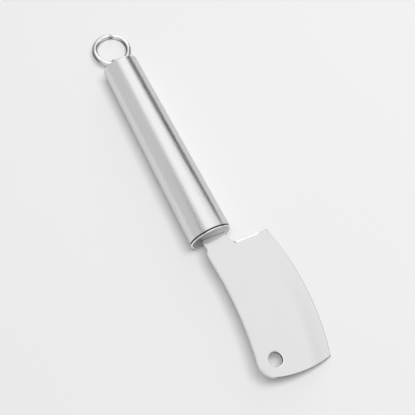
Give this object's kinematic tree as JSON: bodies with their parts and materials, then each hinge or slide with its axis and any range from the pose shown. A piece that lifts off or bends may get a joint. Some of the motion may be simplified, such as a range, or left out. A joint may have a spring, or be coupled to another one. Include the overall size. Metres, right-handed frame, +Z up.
{
  "type": "cheese cleaver",
  "caption": "Small cheese cleaver: flat polished blade with a curved edge and a hanging hole, on a round tapered steel handle with a loose hanging ring.",
  "frame": {"origin": "middle of the knife's bounding box, on the table that it lies on", "axes": "+Z up from the table; +X along the knife, from the ring towards the blade's tip; +Y towards the cutting edge"},
  "size_m": [0.2074, 0.0432, 0.022],
  "materials": {
    "blade_steel": "polished, fine lengthwise grain",
    "handle_steel": "satin, brushed lengthwise",
    "cap_steel": "satin face with a polished rim",
    "seal_rubber": "matt black",
    "core_plastic": "moulded, matt",
    "pin_steel": "turned",
    "plug_steel": "satin, turned",
    "ring_steel": "bright polished wire"
  },
  "bodies": {
    "knife": {"blade": "blade_steel", "handle_tube": "handle_steel", "front_cap": "cap_steel", "seal_ring": "seal_rubber", "tang_core_upper": "core_plastic", "tang_core_lower": "core_plastic", "tang_pin": "pin_steel", "rear_plug": "plug_steel"},
    "ring": {"hanging_ring": "ring_steel"}
  },
  "joints": [
    {"name": "ring_swing", "type": "hinge", "parent": "knife", "child": "ring", "pos_m": [-0.08526, -0.01207, 0.00499], "axis": [0.2726, 0.9552, -0.1155], "range_deg": [-85, 90]}
  ]
}
